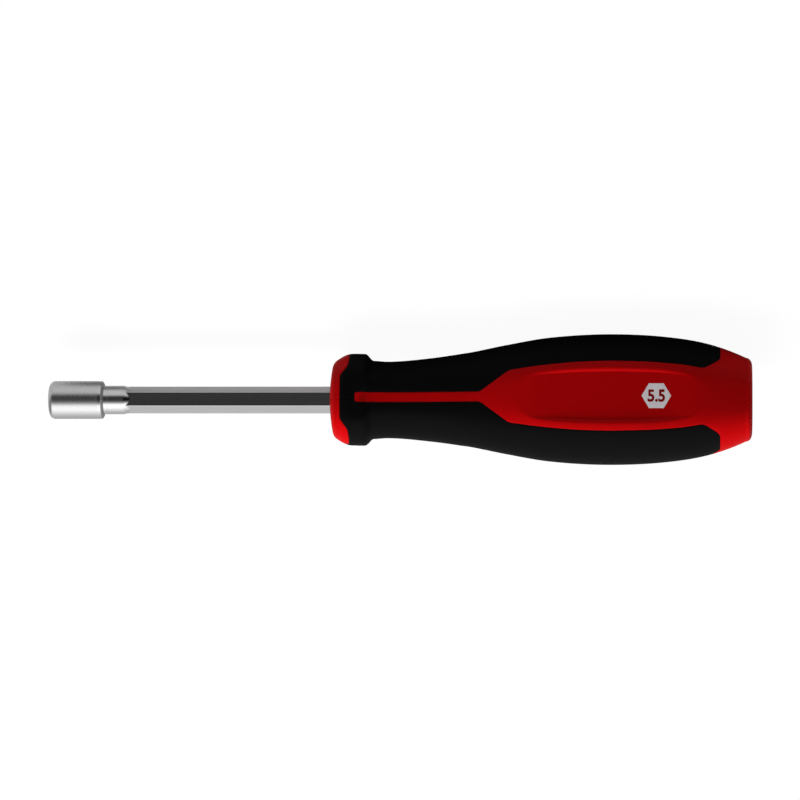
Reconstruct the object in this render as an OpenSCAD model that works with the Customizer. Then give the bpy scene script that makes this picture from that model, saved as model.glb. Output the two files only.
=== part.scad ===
// Nut driver with a hollow six-sided shaft and a three-lobed, two-colour handle.
// Lengths are in millimetres. Each piece is drawn along +Z from the socket's mouth to the
// handle's butt, and laid down so that the mouth faces +X and one handle panel faces the floor.

/* [Socket] */
// nut that the socket turns, across its flats
nut_af = 5.5; // [4:0.5:6]
// play between the nut and the recess
nut_play = 0.1; // [0.05:0.05:0.3]
// outside diameter of the socket
socket_d = 10.3; // [9.5:0.1:14]
// length of the socket
socket_len = 15; // [14:0.1:24]
// depth of the six-sided recess
recess_depth = 9; // [5:0.5:11]
// rounding of the socket's front edge
socket_round = 1.6; // [0.5:0.05:1.8]
// lead-in round the corners of the recess
lead_in = 0.12; // [0.05:0.01:0.3]
// length of the cone at the socket's back
shoulder_len = 0.55; // [0.5:0.05:2.5]
// rounding in front of that cone
shoulder_round = 0.4; // [0.1:0.1:0.8]

/* [Shaft] */
// six-sided shaft, across its flats
hex_af = 6.35; // [5.5:0.05:7.5]
// round neck behind the socket
neck_d = 7.75; // [7:0.05:9]
// length of the round neck
neck_len = 5.4; // [3:0.1:10]
// slope of the cone that runs from the neck to the flats
neck_slope = 21; // [10:1:45]
// spigot of the shaft that is pressed into the socket
spigot_d = 6.4; // [6:0.1:6.8]
// bore through the shaft, for the end of a long screw
bore_d = 4.2; // [3:0.1:4.8]
// length from the socket's mouth to the handle's nose
blade_len = 76.4; // [50:0.1:160]
// length of shaft held in the handle
embed_len = 64; // [40:1:80]
// first locking groove, measured from the shaft's back end
groove_at = 12; // [8:0.5:16]
// distance from one groove to the next
groove_step = 22; // [10:0.5:24]
// width of each groove
groove_w = 4; // [2:0.5:6]
// depth of those grooves below the flats
groove_depth = 0.4; // [0.2:0.05:0.6]
// counterbore at the shaft's back end, which the plug fills
plug_d = 4.9; // [4.9:0.05:5.2]
// length of the plug's stem in the counterbore
plug_len = 6; // [3:0.5:7]
// thickness of the plug's head
plug_head = 1.5; // [0.8:0.1:3]

/* [Handle] */
// length of the handle
handle_len = 113.6; // [100:0.1:140]
// diameter of the nose at its front rim
nose_d = 20.2; // [16:0.1:22]
// diameter of the front collar over its lobes
collar_d = 25.1; // [23:0.1:30]
// diameter of the waist over its lobes
waist_d = 20.7; // [19:0.1:23]
// diameter of the palm swell over its lobes
palm_d = 35.6; // [30:0.1:42]
// diameter of the butt over its lobes
butt_d = 22.8; // [18:0.1:30]
// length of the nose's flank, from its rim to the crown of the collar
flank_len = 5.2; // [3:0.1:6]
// length of the collar's crown
crown_len = 3.2; // [1.5:0.1:4]
// length of the step from the collar down to the waist
step_len = 2.4; // [1:0.1:4]
// waist, measured from the nose
waist_at = 15.4; // [15:0.1:22]
// fattest section, measured from the nose
palm_at = 75.6; // [60:0.1:90]
// radius of the dome on the nose's front
dome_r = 48; // [20:1:200]
// rounding of the butt's edge
butt_round = 2.3; // [0.5:0.1:4]
// how crisp the three corners of a section are
lobe_power = 16; // [8:1:40]

/* [Grip] */
// thickness of the soft grip over the lobes
grip_t = 2.6; // [1.5:0.1:3]
// start of the grip beside a panel, measured from the nose
grip_at = 3.4; // [1:0.1:4]
// end of the grip, measured from the butt
tip_at = 8.6; // [5:0.1:15]
// width of the stripe from the collar to the panel
stripe_w = 2.7; // [1.5:0.1:5]
// start of the stripe, measured from the nose
stripe_at = 7.4; // [5:0.1:9]
// start of the flare from stripe to panel, measured from the nose
flare_at = 41; // [30:0.1:50]
// length of the flare
flare_len = 7.8; // [5:0.1:15]
// panel width at the end of the flare
flare_w = 14.1; // [10:0.1:18]
// panel width at the fattest section
panel_w = 18.8; // [14:0.1:22]
// panel width just in front of the lobes' tips
throat_w = 15; // [10:0.1:18]
// throat of the panel, measured from the lobes' tips
throat_at = 4.5; // [3:0.1:8]
// spread of each side of the panel from its throat to the tips
tip_spread = 3; // [2:0.1:4]
// width of a grip's notch in the nose
notch_w = 12.2; // [8:0.1:14]

/* [Label pocket] */
// length of the shallow pocket on each panel
pocket_len = 49; // [30:1:52]
// width of the pocket
pocket_w = 13; // [8:0.1:14]
// depth of the pocket's floor below the middle of the panel
pocket_depth = 0.8; // [0.3:0.05:1.2]

/* [Inner core] */
// diameter of the core round the shaft
core_d = 12; // [10:0.1:13]
// diameter of the core's locking flanges
flange_d = 17; // [14:0.1:20]
// thickness of a locking flange
flange_t = 3; // [2:0.1:5]
// distance from one flange to the next
flange_step = 11; // [8:0.5:14]
// thickness of the nose in front of the core
nose_wall = 3.2; // [2:0.1:6]
// length of core behind the shaft
core_tail = 5; // [3:0.5:10]

/* [Hidden] */
$fn = 72;
eps = 0.01;
// Longer than any cut through the handle.
reach = 1.2 * palm_d;
// Directions of the three panels round the axis.
panels = [60, 180, 300];
// Flats of the shaft and of the recess face the panels.
hex_turn = 30;
// Least length of the cone behind the neck, and the edge left round the neck on the socket.
run_out = 0.5;
shoulder_lip = 0.1;
// Hard plastic left between a locking flange and the grip.
flange_cover = 2;
// Shape of the collar and of the grip's edges.
notch_rise = 2;
notch_ease = 0.1;
crown_fall = 0.2;
foot_rise = 0.45;
stripe_corner = 0.4;
window_lap = 0.3;
pocket_power = 0.3;

recess_af = nut_af + nut_play;
mouth_r = recess_af / sqrt(3) + lead_in;
neck_end = socket_len + neck_len;
hex_start = neck_end + max(run_out, (neck_d - hex_af) / 2 / tan(neck_slope));
shaft_end = blade_len + embed_len;
grooves_s = [shaft_end - groove_at, shaft_end - groove_at - groove_step];

nose_s = blade_len;
butt_s = blade_len + handle_len;
grip_end = butt_s - tip_at;
waist_s = nose_s + waist_at;
palm_s = nose_s + palm_at;
core_start = nose_s + nose_wall;
core_end = shaft_end + plug_head + core_tail;
flanges_s = [for (i = [0:2]) core_end - flange_t - i * flange_step];

// Share of the way from waist to palm, and of the rise in radius there.
swell = [[0, 0], [0.19, 0.118], [0.37, 0.336], [0.54, 0.615], [0.735, 0.882], [1, 1]];
// Share of the way from palm to butt, and of the fall in radius there.
taper = [[0, 0], [0.385, 0.10], [0.715, 0.405], [1, 1]];
taper_end = 2.7;

// Flat distance divided by lobe radius, at the named sections.
flat_rim = 0.97;
flat_collar = 0.875;
flat_waist = 0.945;
flat_palm = 0.925;

function mix(a, b, u) = a + (b - a) * u;

// Slope of a list of points at index i, from its neighbours. The ends are level or run out straight.
function slope(p, i, last) =
    i == 0 ? 0 :
    i == len(p) - 1 ? last :
    (p[i + 1][1] - p[i - 1][1]) / (p[i + 1][0] - p[i - 1][0]);

// Smooth curve through a list of points, at share u of the span after point i.
function spline(p, i, u, last) =
    let (w = p[i + 1][0] - p[i][0])
    (1 + 2 * u) * (1 - u) * (1 - u) * p[i][1]
    + u * u * (3 - 2 * u) * p[i + 1][1]
    + u * (1 - u) * (1 - u) * w * slope(p, i, last)
    - u * u * (1 - u) * w * slope(p, i + 1, last);

// Distance from the axis to a section's surface at angle psi. A section is a circle through the
// lobes, cut by three flats that face the panels, with the corners eased.
function section_r(psi, lobe_r, flat) =
    let (off = abs(psi % 120 - 60))
    lobe_r * pow(1 + pow(cos(off) / flat, lobe_power), -1 / lobe_power);

rim_s = nose_s + nose_d * nose_d / 8 / dome_r;
crown_s = rim_s + flank_len;
step_s = crown_s + crown_len;
foot_s = step_s + step_len;
foot_d = waist_d + foot_rise;
edge_s = butt_s - butt_round * sin(45);

// Rows of the handle: place along the axis, lobe radius, flat share.
dome_rows = [for (r = [nose_d * 0.26, nose_d * 0.38, nose_d * 0.47])
    [nose_s + r * r / 2 / dome_r, r, 1]];
flank_rows = [for (u = [0.02, 0.12, 0.24, 0.4, 0.58, 0.78, 1])
    [mix(rim_s, crown_s, u), mix(nose_d, collar_d, sin(90 * u)) / 2,
     mix(flat_rim, flat_collar, sin(90 * u))]];
step_rows = [for (u = [0, 0.2, 0.36, 0.5, 0.64, 0.8, 1])
    [mix(step_s, foot_s, u), mix(collar_d - crown_fall, foot_d, (1 - cos(180 * u)) / 2) / 2,
     mix(flat_collar, flat_waist, (1 - cos(180 * u)) / 2)]];
swell_rows = [for (i = [0:len(swell) - 2]) for (u = [0, 0.33, 0.67])
    let (a = mix(swell[i][0], swell[i + 1][0], u))
    [mix(waist_s, palm_s, a), mix(waist_d, palm_d, spline(swell, i, u, 0)) / 2,
     mix(flat_waist, flat_palm, a)]];
taper_rows = [for (i = [0:len(taper) - 2]) for (u = [0, 0.25, 0.5, 0.75])
    let (a = mix(taper[i][0], taper[i + 1][0], u))
    [mix(palm_s, edge_s, a), mix(palm_d, butt_d, spline(taper, i, u, taper_end)) / 2, flat_palm]];
round_rows = [for (a = [0:22.5:90])
    [edge_s + (butt_s - edge_s) * sin(a), butt_d / 2 - butt_round * (1 - cos(a)), flat_palm]];
rows = concat(dome_rows, flank_rows, step_rows, swell_rows, taper_rows, round_rows);

// Lobe radius of the handle at a place along the axis.
function lobe_at(s) = lookup(s, [for (row = rows) [row[0], row[1]]]);

// Distance from the axis to the middle of a panel at a place along the axis.
function panel_at(s) = lookup(s, [for (row = rows) [row[0], section_r(60, row[1], row[2])]]);

module lay() {
    rotate([0, -90, 0]) children();
}

module at_panels() {
    for (a = panels) rotate([0, 0, a]) children();
}

// Prism that stands on the axis and faces the panel, from an outline of [across, along] points.
module toward_panel(outline, from) {
    rotate([90, 0, 90])
        translate([0, 0, from])
        linear_extrude(reach)
        polygon(outline);
}

// Outline from [half width, along] points of one side, closed by its mirror image.
function both_sides(side) =
    concat(side, [for (i = [len(side) - 1:-1:0]) [-side[i][0], side[i][1]]]);

module handle_form() {
    cols = $fn;
    n = len(rows);
    points = [for (row = rows) for (k = [0:cols - 1])
        let (psi = k * 360 / cols, r = section_r(psi, row[1], row[2]))
        [r * cos(psi), r * sin(psi), row[0]]];
    front = [[for (k = [0:cols - 1]) k]];
    back = [[for (k = [cols - 1:-1:0]) (n - 1) * cols + k]];
    sides = [for (j = [0:n - 2]) for (k = [0:cols - 1]) for (half = [0, 1])
        let (a = j * cols + k, b = j * cols + (k + 1) % cols)
        half == 0 ? [a, a + cols, b] : [b, a + cols, b + cols]];
    polyhedron(points = points, faces = concat(front, back, sides), convexity = 6);
}

// Body that the grip sits on: the lobes less the grip's thickness. It runs on into the butt.
module under_grip() {
    places = concat(
        [crown_s, step_s, foot_s],
        [for (u = [0.1, 0.37, 0.6, 0.83]) mix(waist_s, palm_s, u)],
        [for (u = [0.2, 0.6, 1]) mix(palm_s, grip_end, u)]);
    rotate_extrude()
        polygon(concat(
            [[0, nose_s], [nose_d / 2 - grip_t, nose_s]],
            [for (s = places) [lobe_at(s) - grip_t, s]],
            [[lobe_at(grip_end) - grip_t, grip_end + window_lap], [0, grip_end + window_lap]]));
}

// Hard plastic that shows between the lobes: a stripe that flares into a panel. Its sides spread
// between the lobes' tips and run on into the butt.
module panel_window() {
    flare_s = nose_s + flare_at;
    panel_s = flare_s + flare_len;
    toward_panel(both_sides([
        [stripe_w / 2 - stripe_corner, nose_s + stripe_at],
        [stripe_w / 2, nose_s + stripe_at + stripe_corner],
        [stripe_w / 2, flare_s],
        [flare_w / 2, panel_s],
        [mix(flare_w, panel_w, 0.5) / 2, mix(panel_s, palm_s, 0.3)],
        [mix(flare_w, panel_w, 0.87) / 2, mix(panel_s, palm_s, 0.65)],
        [panel_w / 2, palm_s],
        [mix(panel_w, throat_w, 0.15) / 2, mix(palm_s, grip_end - throat_at, 0.45)],
        [mix(panel_w, throat_w, 0.5) / 2, mix(palm_s, grip_end - throat_at, 0.78)],
        [throat_w / 2, grip_end - throat_at],
        [throat_w / 2 + 0.1 * tip_spread, grip_end - 0.85 * throat_at],
        [throat_w / 2 + 0.75 * tip_spread, grip_end - 0.1 * throat_at],
        [throat_w / 2 + 1.25 * tip_spread, grip_end + 0.1 * throat_at]]),
        from = waist_d / 2 - grip_t - window_lap);
}

// Where the grip runs forward into the nose, beside a panel.
module notch() {
    toward_panel(both_sides([
        [notch_w / 2, nose_s + grip_at],
        [notch_w / 2 + notch_rise, nose_s + grip_at + notch_rise],
        [collar_d / 2 * sin(60), nose_s + grip_at + notch_rise + notch_ease],
        [collar_d / 2 * sin(60), nose_s + grip_at + reach]]),
        from = 0);
}

// Everything that is hard plastic when the handle's outer form is shared out.
module hard_zone() {
    under_grip();
    at_panels() panel_window();
    difference() {
        translate([0, 0, nose_s - 1])
            cylinder(d = 2 * reach, h = 1 + grip_at + notch_rise + notch_ease);
        at_panels() notch();
    }
    translate([0, 0, grip_end]) cylinder(d = 2 * reach, h = tip_at + 1);
}

// Shallow pocket of one panel: flat across, and following the panel lengthways.
module pocket() {
    floor_s = [for (u = [-0.5:0.125:0.5]) palm_s + pocket_len * u];
    intersection() {
        toward_panel(both_sides([for (a = [-90:18:90])
            [pocket_w / 2 * pow(cos(a), pocket_power), palm_s + pocket_len / 2 * sin(a)]]),
            from = 0);
        rotate([90, 0, 0])
            translate([0, 0, -reach / 2])
            linear_extrude(reach)
            polygon(concat(
                [for (s = floor_s) [panel_at(s) - pocket_depth, s]],
                [[reach, floor_s[8]], [reach, floor_s[0]]]));
    }
}

module hex_bar(af, h) {
    rotate([0, 0, hex_turn]) cylinder(d = af / cos(30), h = h, $fn = 6);
}

// Six-sided stretch of the shaft, with the grooves that lock it in the handle.
module shaft_outside() {
    difference() {
        translate([0, 0, neck_end]) hex_bar(hex_af, shaft_end - neck_end);
        for (s = grooves_s)
            translate([0, 0, s])
            difference() {
                cylinder(d = 2 * hex_af, h = groove_w);
                cylinder(d = hex_af - 2 * groove_depth, h = groove_w);
            }
    }
}

module core_form() {
    translate([0, 0, core_start]) cylinder(d = core_d, h = core_end - core_start);
    for (s = flanges_s)
        translate([0, 0, s])
        cylinder(r = min(flange_d / 2, lobe_at(s) - grip_t - flange_cover), h = flange_t);
}

module drive_socket() {
    color("silver") lay() difference() {
        rotate_extrude()
            polygon(concat(
                [[0, 0]],
                [for (a = [0:15:90])
                    [socket_d / 2 - socket_round * (1 - sin(a)), socket_round * (1 - cos(a))]],
                [for (a = [0:15:60])
                    [socket_d / 2 - shoulder_round * (1 - cos(a)),
                     socket_len - shoulder_len - shoulder_round * (sin(60) - sin(a))]],
                [[neck_d / 2 + shoulder_lip, socket_len],
                 [0, socket_len]]));
        translate([0, 0, -eps]) hex_bar(recess_af, recess_depth + 2 * eps);
        translate([0, 0, -eps]) cylinder(r1 = mouth_r + eps, r2 = 0, h = mouth_r + eps);
        translate([0, 0, recess_depth])
            cylinder(d = spigot_d, h = socket_len - recess_depth + eps);
    }
}

module hex_shaft() {
    color("gainsboro") lay() difference() {
        union() {
            shaft_outside();
            translate([0, 0, recess_depth]) cylinder(d = spigot_d, h = socket_len - recess_depth);
            translate([0, 0, socket_len]) cylinder(d = neck_d, h = neck_len);
            translate([0, 0, neck_end])
                cylinder(d1 = neck_d, d2 = min(hex_af, neck_d), h = hex_start - neck_end);
        }
        translate([0, 0, recess_depth - eps])
            cylinder(d = bore_d, h = shaft_end - recess_depth);
        translate([0, 0, shaft_end - plug_len]) cylinder(d = plug_d, h = plug_len + eps);
    }
}

module shaft_plug() {
    color("dimgray") lay() union() {
        translate([0, 0, shaft_end - plug_len]) cylinder(d = plug_d, h = plug_len);
        translate([0, 0, shaft_end]) cylinder(d = hex_af, h = plug_head);
    }
}

module inner_core() {
    color("dimgray") lay() difference() {
        core_form();
        shaft_outside();
        translate([0, 0, shaft_end - eps]) cylinder(d = hex_af, h = plug_head + eps);
    }
}

module handle_shell() {
    color("firebrick") lay() difference() {
        intersection() {
            handle_form();
            hard_zone();
        }
        at_panels() pocket();
        core_form();
        translate([0, 0, nose_s - 1]) hex_bar(hex_af, nose_wall + 2);
    }
}

module grip_sleeve() {
    color("black") lay() difference() {
        handle_form();
        hard_zone();
    }
}

drive_socket();
hex_shaft();
shaft_plug();
inner_core();
handle_shell();
grip_sleeve();
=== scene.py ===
"""Looks of a nut driver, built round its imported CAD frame.

Shapes are worked out in millimetres as a distance along the tool from the socket's mouth, a radius
from the axis and an angle round it. They become metres in the frame's axes where a mesh is made.
"""

import logging
import math
from dataclasses import dataclass
from enum import Enum, IntEnum

import bpy
import numpy as np
from mathutils import Matrix, Vector


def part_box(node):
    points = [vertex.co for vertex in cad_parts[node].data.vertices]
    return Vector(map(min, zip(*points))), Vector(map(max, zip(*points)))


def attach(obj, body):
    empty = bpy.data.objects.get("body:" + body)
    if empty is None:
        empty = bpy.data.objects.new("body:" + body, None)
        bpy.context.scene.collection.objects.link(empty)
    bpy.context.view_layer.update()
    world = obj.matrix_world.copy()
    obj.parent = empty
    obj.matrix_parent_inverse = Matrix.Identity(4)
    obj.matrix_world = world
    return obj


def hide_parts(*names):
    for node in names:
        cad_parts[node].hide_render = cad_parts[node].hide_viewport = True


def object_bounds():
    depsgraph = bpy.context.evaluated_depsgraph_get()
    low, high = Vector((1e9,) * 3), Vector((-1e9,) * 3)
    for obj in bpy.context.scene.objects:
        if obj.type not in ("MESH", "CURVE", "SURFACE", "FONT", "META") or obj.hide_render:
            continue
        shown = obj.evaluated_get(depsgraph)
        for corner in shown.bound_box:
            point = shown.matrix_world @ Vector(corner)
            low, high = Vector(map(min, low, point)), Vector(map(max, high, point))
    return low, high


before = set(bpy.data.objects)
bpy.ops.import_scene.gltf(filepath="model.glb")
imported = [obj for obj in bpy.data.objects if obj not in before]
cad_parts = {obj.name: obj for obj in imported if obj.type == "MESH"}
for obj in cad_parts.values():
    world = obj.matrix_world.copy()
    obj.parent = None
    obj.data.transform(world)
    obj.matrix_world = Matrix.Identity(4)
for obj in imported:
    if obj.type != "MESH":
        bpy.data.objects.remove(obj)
CAD_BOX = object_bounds()

LOG = logging.getLogger("nut_driver")
MM = 0.001
# Points closer than this, in metres, are one point.
MERGE = 1e-7
SIXTH = math.pi / 3
THIRD = 2 * math.pi / 3
# Directions of the three panels round the axis. The last one faces the camera.
PANELS = tuple(math.radians(a) for a in (60, 180, 300))
# Length of the red body in front of the core, in millimetres.
NOSE_WALL = 3.2
# Edges that turn by more than these angles, in degrees, shade as corners.
STEEL_SHARP, PLASTIC_SHARP = 32, 50
# Degrees from the middle of a flat of a six-sided piece to its corner, and the columns in between.
CORNER = 30
FLAT_TO_CORNER = (0, 5, 10, 15, 19, 22, 24.5, 26.2, 27.4, 28.3, 29, 29.5)
# Range in which nearly all of a noise lies.
NOISE_LOW, NOISE_HIGH = 0.3, 0.7
# Noise that breaks wear into patches, as a scale per metre and octaves, and the shares that it leaves.
WEAR_NOISE, WEAR_SHARES = (420, 4), (0.15, 1.0)
# Sockets of a mix node that mixes colours.
MIX_LOW, MIX_HIGH, MIX_OUT = 6, 7, 2

Array = np.ndarray
Colour = tuple[float, float, float]
Curve = tuple[tuple[float, float], ...]
# A shader node with the name or index of one of its outputs.
Output = tuple[bpy.types.Node, str | int]
Term = Output | float


class Node(Enum):
    """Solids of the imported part."""

    SOCKET = "drive_socket"
    SHAFT = "hex_shaft"
    PLUG = "shaft_plug"
    CORE = "inner_core"
    SHELL = "handle_shell"
    GRIP = "grip_sleeve"


class Slot(Enum):
    """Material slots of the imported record."""

    SATIN_STEEL = "satin_steel"
    BRIGHT_STEEL = "bright_steel"
    RED_PLASTIC = "red_plastic"
    BLACK_GRIP = "black_grip"


class Marks(Enum):
    """Direction of the fine lines that a tool leaves on steel, as noise scales per metre on X, Y and Z."""

    TURNED = (7000.0, 25.0, 25.0)
    DRAWN = (12.0, 5200.0, 5200.0)


class Zone(IntEnum):
    """Stretches of the handle's rows, from the front."""

    NOSE = 0
    COLLAR = 1
    LOBES = 2
    BUTT = 3


def mix(a: Array | float, b: Array | float, u: Array | float) -> Array | float:
    """Value at share u of the way from a to b."""
    return a + (b - a) * u


def ease(u: Array | float) -> Array:
    """Share u held between 0 and 1, with a level start and end."""
    u = np.clip(u, 0, 1)
    return u * u * (3 - 2 * u)


def folded(angle: Array, period: float) -> Array:
    """Size of the angle to the nearest multiple of a period."""
    return np.abs((angle + period / 2) % period - period / 2)


def grey(level: float) -> Colour:
    """Grey of that level."""
    return level, level, level


def curve_through(points: Curve, x: Array, last: float) -> Array:
    """Cubic curve through points, level at the first one, its inner slopes taken from the neighbours.

    Args:
        points: Places and heights, in order.
        x: Places where the curve is wanted.
        last: Slope at the last point.

    Returns:
        Heights at x.
    """
    px, py = np.array(points).T
    slopes = np.concatenate([[0], (py[2:] - py[:-2]) / (px[2:] - px[:-2]), [last]])
    i = np.clip(np.searchsorted(px, x, side="right") - 1, 0, len(px) - 2)
    w = px[i + 1] - px[i]
    u = np.clip((x - px[i]) / w, 0, 1)
    return (
        (1 + 2 * u) * (1 - u) ** 2 * py[i]
        + u * u * (3 - 2 * u) * py[i + 1]
        + u * (1 - u) ** 2 * w * slopes[i]
        - u * u * (1 - u) * w * slopes[i + 1]
    )


def averaged(points: Curve, x: Array, span: Array | float, count: int) -> Array:
    """Straight runs through points, with corners that are rounded by an average.

    Args:
        points: Places and heights, in order.
        x: Places where the height is wanted.
        span: Distance on either side over which the heights are averaged.
        count: Number of heights in an average.

    Returns:
        Heights at x.
    """
    spread = np.asarray(x)[..., None] + np.asarray(span)[..., None] * np.linspace(-1, 1, count)
    return np.interp(spread, *np.array(points).T).mean(axis=-1)


def larger(a: Array, b: Array, soft: float) -> Array:
    """The larger of a and b, with the corner between them eased over about the length soft."""
    return (a + b + np.sqrt((a - b) ** 2 + soft * soft)) / 2


def hexagon(psi: Array, flat_r: float, crisp: float = 60.0) -> Array:
    """Radius of a six-sided section with flats at 0, 60 and so on, and eased corners.

    The two nearest flats pull with the cosine of their angle to a high power, so a flat stays flat
    and a corner is rounded by a few hundredths of flat_r.

    Args:
        psi: Angles round the axis.
        flat_r: Distance from the axis to a flat.
        crisp: The power, larger for sharper corners.

    Returns:
        Radii at psi.
    """
    off = folded(psi, SIXTH)
    return flat_r * (np.cos(off) ** crisp + np.cos(SIXTH - off) ** crisp) ** (-1 / crisp)


def place(s: Array, r: Array, psi: Array) -> Array:
    """Points in the frame, in metres: s runs towards -X, and psi turns from +Z towards +Y."""
    s, r, psi = np.broadcast_arrays(s, r, psi)
    return np.stack([-s, r * np.sin(psi), r * np.cos(psi)], axis=-1) * MM


def cells(rows: int, cols: int, closed: bool = False) -> tuple[Array, Array, Array, Array]:
    """Cells of a grid whose columns run round the axis, so that the last joins the first.

    Args:
        rows: Number of rows, which run along a profile.
        cols: Number of columns.
        closed: True if the last row joins the first.

    Returns:
        Indices of the four corners of each cell, ordered so that a face points away from the solid.
    """
    index = np.arange(rows * cols).reshape(rows, cols)
    index = np.concatenate([index, index[:, :1]], axis=1)
    if closed:
        index = np.concatenate([index, index[:1]], axis=0)
    return index[:-1, :-1], index[:-1, 1:], index[1:, 1:], index[1:, :-1]


def weave(points: Array, closed: bool) -> Array:
    """Quads between the points of a grid, as cells gives them."""
    return np.stack(cells(*points.shape[:2], closed), axis=-1).reshape(-1, 4)


def add_object(name: str, data: bpy.types.ID) -> bpy.types.Object:
    """A new object of the scene with that data."""
    item = bpy.data.objects.new(name, data)
    bpy.context.scene.collection.objects.link(item)
    return item


def make_mesh(
    name: str, points: Array, quads: Array, fields: dict[str, Array], sharp: float
) -> bpy.types.Object:
    """Mesh object from a grid: equal points become one, and quads without area become triangles or go.

    Args:
        name: Name of the object.
        points: Points in metres, with any leading shape.
        quads: Four indices into the points a face.
        fields: Named values, one a point, that the finishes read.
        sharp: Edges that turn by more than this angle, in degrees, shade as corners.

    Returns:
        The object, linked to the scene, with its place in its mesh.
    """
    flat = points.reshape(-1, 3)
    whole = np.round(flat / MERGE).astype(np.int64)
    _, first, twin = np.unique(whole, axis=0, return_index=True, return_inverse=True)
    faces = twin.reshape(-1)[quads]
    kept = faces != np.roll(faces, -1, axis=1)
    solid = kept.sum(axis=1) >= 3
    faces, kept = faces[solid], kept[solid]
    used, loops = np.unique(faces[kept], return_inverse=True)
    loops = loops.reshape(-1)
    sizes = kept.sum(axis=1)
    starts = np.concatenate([[0], np.cumsum(sizes)[:-1]])

    mesh = bpy.data.meshes.new(name)
    mesh.vertices.add(len(used))
    mesh.vertices.foreach_set("co", flat[first[used]].astype(np.float32).ravel())
    mesh.loops.add(len(loops))
    mesh.loops.foreach_set("vertex_index", loops.astype(np.int32))
    mesh.polygons.add(len(starts))
    mesh.polygons.foreach_set("loop_start", starts.astype(np.int32))
    mesh.update(calc_edges=True)
    mesh.validate()
    for field, values in fields.items():
        layer = mesh.attributes.new(field, "FLOAT", "POINT")
        layer.data.foreach_set("value", values.reshape(-1)[first[used]].astype(np.float32))
    mesh.polygons.foreach_set("use_smooth", np.ones(len(starts), bool))
    mesh.set_sharp_from_angle(angle=math.radians(sharp))

    # Each corner's edge leads to the next corner of its face. In a closed mesh two faces share an edge.
    after = np.arange(len(loops)) + 1
    after[starts + sizes - 1] = starts
    ends = np.sort(np.stack([loops, loops[after]], axis=1), axis=1)
    _, shared = np.unique(ends, axis=0, return_counts=True)
    open_edges = int((shared != 2).sum())
    LOG.info("%s: %d points, %d faces, %d open edges", name, len(used), len(starts), open_edges)
    return add_object(name, mesh)


def fit_out(piece: bpy.types.Object, finish: "Finish", node: Node | None) -> None:
    """Gives a piece its finish and its body, and hides the CAD solid that it stands for.

    Args:
        piece: The new object.
        finish: Finish that covers all of it.
        node: CAD solid that it stands for, if any.
    """
    piece.data.materials.clear()
    piece.data.materials.append(finish.material())
    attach(piece, "root")
    if node:
        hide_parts(node.value)
    LOG.info("piece %s in %s", piece.name, finish.name)


class Board:
    """Adds and joins the shader nodes of one tree."""

    def __init__(self, tree: bpy.types.NodeTree) -> None:
        """Starts with an empty tree that knows its coordinates."""
        self.tree = tree
        tree.nodes.clear()
        self.coords = self.add("ShaderNodeTexCoord")

    def add(
        self, kind: str, values: dict[str | int, object] | None = None, **settings: object
    ) -> bpy.types.Node:
        """Adds a node.

        Args:
            kind: Blender's name of the node type.
            values: What feeds its input sockets, by their name or index.
            settings: Properties to set on the node itself.

        Returns:
            The node.
        """
        node = self.tree.nodes.new(kind)
        for key, value in settings.items():
            setattr(node, key, value)
        self.feed(node, values or {})
        return node

    def feed(self, node: bpy.types.Node, values: dict[str | int, object]) -> None:
        """Links an output to an input socket of a node, or sets the socket to a plain value.

        Args:
            node: The node.
            values: An output, a number or a colour for each socket's name or index.
        """
        for key, value in values.items():
            if isinstance(value, tuple) and isinstance(value[0], bpy.types.Node):
                self.tree.links.new(value[0].outputs[value[1]], node.inputs[key])
            else:
                node.inputs[key].default_value = value

    def calc(self, operation: str, *terms: Term) -> Output:
        """Result of a math node, from Blender's name of its operation and its inputs."""
        return self.add("ShaderNodeMath", dict(enumerate(terms)), operation=operation), "Value"

    def fade(self, term: Term, start: float, end: float) -> Output:
        """A share that rises smoothly from 0 to 1 as a term runs from start to end."""
        values = {"Value": term, "From Min": start, "From Max": end}
        return self.add("ShaderNodeMapRange", values, interpolation_type="SMOOTHSTEP"), "Result"

    def lerp(self, a: Term, b: Term, share: Term) -> Output:
        """The term at a share of the way from a to b."""
        return self.calc("MULTIPLY_ADD", share, self.calc("SUBTRACT", b, a), a)


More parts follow.
